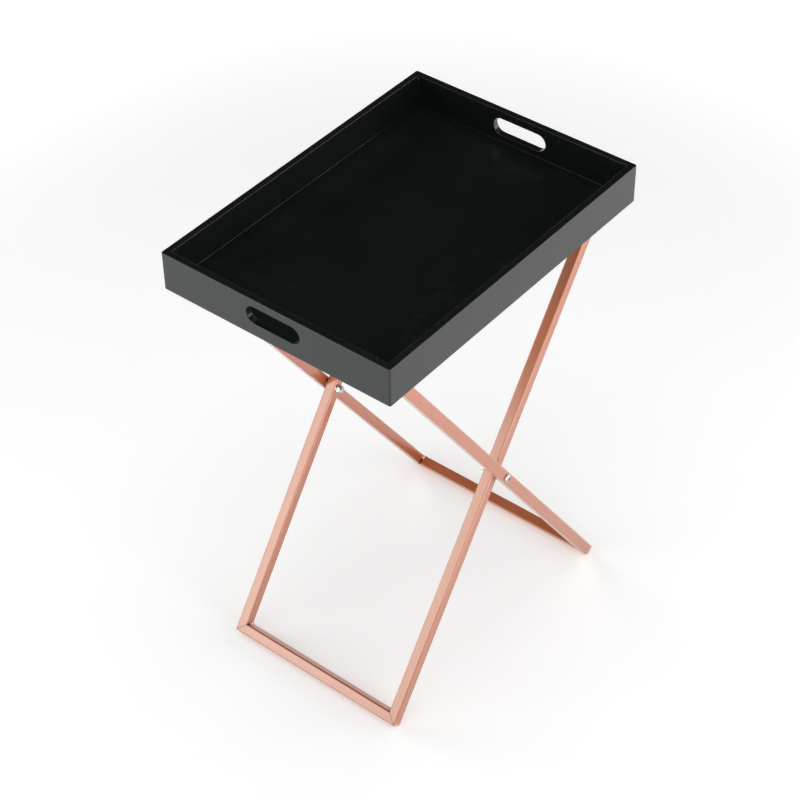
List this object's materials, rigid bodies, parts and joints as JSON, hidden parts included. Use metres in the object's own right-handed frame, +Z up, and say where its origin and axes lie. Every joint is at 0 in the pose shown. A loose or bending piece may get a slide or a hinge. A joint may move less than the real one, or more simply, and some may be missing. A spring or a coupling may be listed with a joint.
{
  "type": "folding tray table",
  "caption": "Small side table: a lift-off rectangular tray with hand slots rests on a folding crossed frame of square metal tube.",
  "frame": {"origin": "on the floor under the middle of the tray", "axes": "+Z up; +X along the tray to its right-hand end; +Y along the pivot axis to the rear"},
  "size_m": [0.48, 0.34, 0.665],
  "materials": {
    "black_lacquer": "satin black lacquer over board",
    "rose_copper_plate": "finely brushed rose copper electroplate",
    "zinc_plate": "bright zinc plate",
    "nylon": "natural nylon"
  },
  "bodies": {
    "inner_frame": {"inner_leg_front": "rose_copper_plate", "inner_leg_rear": "rose_copper_plate", "inner_foot_bar": "rose_copper_plate", "inner_top_bar": "rose_copper_plate", "pivot_screw_front": "zinc_plate", "pivot_screw_rear": "zinc_plate", "pivot_spacer_front": "zinc_plate", "pivot_spacer_rear": "zinc_plate", "nut_washer_front": "zinc_plate", "nut_washer_rear": "zinc_plate", "lock_nut_front": "zinc_plate", "lock_nut_rear": "zinc_plate", "nut_insert_front": "nylon", "nut_insert_rear": "nylon"},
    "outer_frame": {"outer_leg_front": "rose_copper_plate", "outer_leg_rear": "rose_copper_plate", "outer_foot_bar": "rose_copper_plate", "outer_top_bar": "rose_copper_plate"},
    "tray": {"tray_base": "black_lacquer", "tray_side_front": "black_lacquer", "tray_side_rear": "black_lacquer", "tray_end_left": "black_lacquer", "tray_end_right": "black_lacquer", "stop_bead_left": "black_lacquer", "stop_bead_right": "black_lacquer"}
  },
  "joints": [
    {"name": "frame_fold", "type": "hinge", "parent": "inner_frame", "child": "outer_frame", "pos_m": [0.008, 0, 0.30535], "axis": [0, 1, 0], "range_deg": [0, 66]},
    {"name": "tray_lift", "type": "slide", "parent": "inner_frame", "child": "tray", "axis": [0, 0, 1], "range_m": [0, 0.45]}
  ],
  "couplings": [
    {"joint": "tray_lift", "follows": "frame_fold", "m_per_rad": 0.35}
  ]
}
